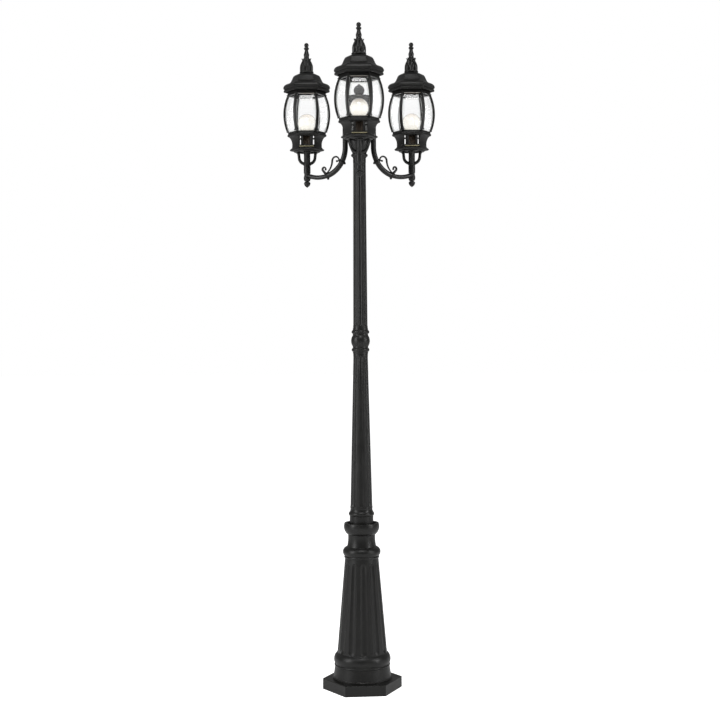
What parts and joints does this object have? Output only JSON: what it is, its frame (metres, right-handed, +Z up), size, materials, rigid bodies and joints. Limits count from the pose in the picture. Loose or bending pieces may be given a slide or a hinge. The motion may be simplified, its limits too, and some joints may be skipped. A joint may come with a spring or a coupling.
{
  "type": "triple head lamp post",
  "caption": "Garden lamp post with lantern heads on curved arms, a fluted tapering post and a hexagonal foot.",
  "frame": {"origin": "on the post's axis at ground level, centre of the anchor bolt circle", "axes": "+Z up along the post, -Y towards the front lantern, +X to the right seen from the front"},
  "size_m": [0.5318, 0.466, 2.2341],
  "materials": {
    "black_cast": "textured black powder coat on cast aluminium",
    "clear_glass": "clear bent glass with bevelled edges",
    "bulb_glass": "clear bulb glass, lit",
    "holder_plastic": "satin heat-proof plastic",
    "zinc_steel": "zinc plated steel",
    "black_screw": "blackened steel"
  },
  "bodies": {
    "post": {"anchor_plate": "zinc_steel", "arm_nuts": "zinc_steel", "base_drum": "black_cast", "foot_screws": "black_screw", "front_arm": "black_cast", "front_arm_scroll": "black_cast", "front_cradle": "black_cast", "front_drop_finial": "black_cast", "front_gallery": "black_cast", "front_glass_panes": "clear_glass", "front_lampholder": "holder_plastic", "front_lantern_frame": "black_cast", "front_nipple": "zinc_steel", "hex_foot": "black_cast", "hub_body": "black_cast", "hub_bowl": "black_cast", "hub_cap": "black_cast", "hub_finial": "black_cast", "hub_screws": "black_screw", "left_arm": "black_cast", "left_arm_scroll": "black_cast", "left_cradle": "black_cast", "left_drop_finial": "black_cast", "left_gallery": "black_cast", "left_glass_panes": "clear_glass", "left_lampholder": "holder_plastic", "left_lantern_frame": "black_cast", "left_nipple": "zinc_steel", "lower_post": "black_cast", "pedestal": "black_cast", "pedestal_collar": "black_cast", "pipe_nuts": "zinc_steel", "pipe_washers": "zinc_steel", "post_coupling": "black_cast", "post_pipe": "zinc_steel", "right_arm": "black_cast", "right_arm_scroll": "black_cast", "right_cradle": "black_cast", "right_drop_finial": "black_cast", "right_gallery": "black_cast", "right_glass_panes": "clear_glass", "right_lampholder": "holder_plastic", "right_lantern_frame": "black_cast", "right_nipple": "zinc_steel", "top_collar": "black_cast", "upper_post": "black_cast"},
    "front_roof_body": {"front_roof": "black_cast", "front_roof_screws": "black_screw", "front_spire": "black_cast"},
    "front_bulb_body": {"front_bulb": "bulb_glass"},
    "right_roof_body": {"right_roof": "black_cast", "right_roof_screws": "black_screw", "right_spire": "black_cast"},
    "right_bulb_body": {"right_bulb": "bulb_glass"},
    "left_roof_body": {"left_roof": "black_cast", "left_roof_screws": "black_screw", "left_spire": "black_cast"},
    "left_bulb_body": {"left_bulb": "bulb_glass"}
  },
  "joints": [
    {"name": "front_roof_lift", "type": "slide", "parent": "post", "child": "front_roof_body", "axis": [0, 0, 1], "range_m": [0, 0.15]},
    {"name": "front_bulb_draw", "type": "slide", "parent": "post", "child": "front_bulb_body", "axis": [0, 0, 1], "range_m": [0, 0.028]},
    {"name": "right_roof_lift", "type": "slide", "parent": "post", "child": "right_roof_body", "axis": [0, 0, 1], "range_m": [0, 0.15]},
    {"name": "right_bulb_draw", "type": "slide", "parent": "post", "child": "right_bulb_body", "axis": [0, 0, 1], "range_m": [0, 0.028]},
    {"name": "left_roof_lift", "type": "slide", "parent": "post", "child": "left_roof_body", "axis": [0, 0, 1], "range_m": [0, 0.15]},
    {"name": "left_bulb_draw", "type": "slide", "parent": "post", "child": "left_bulb_body", "axis": [0, 0, 1], "range_m": [0, 0.028]}
  ]
}
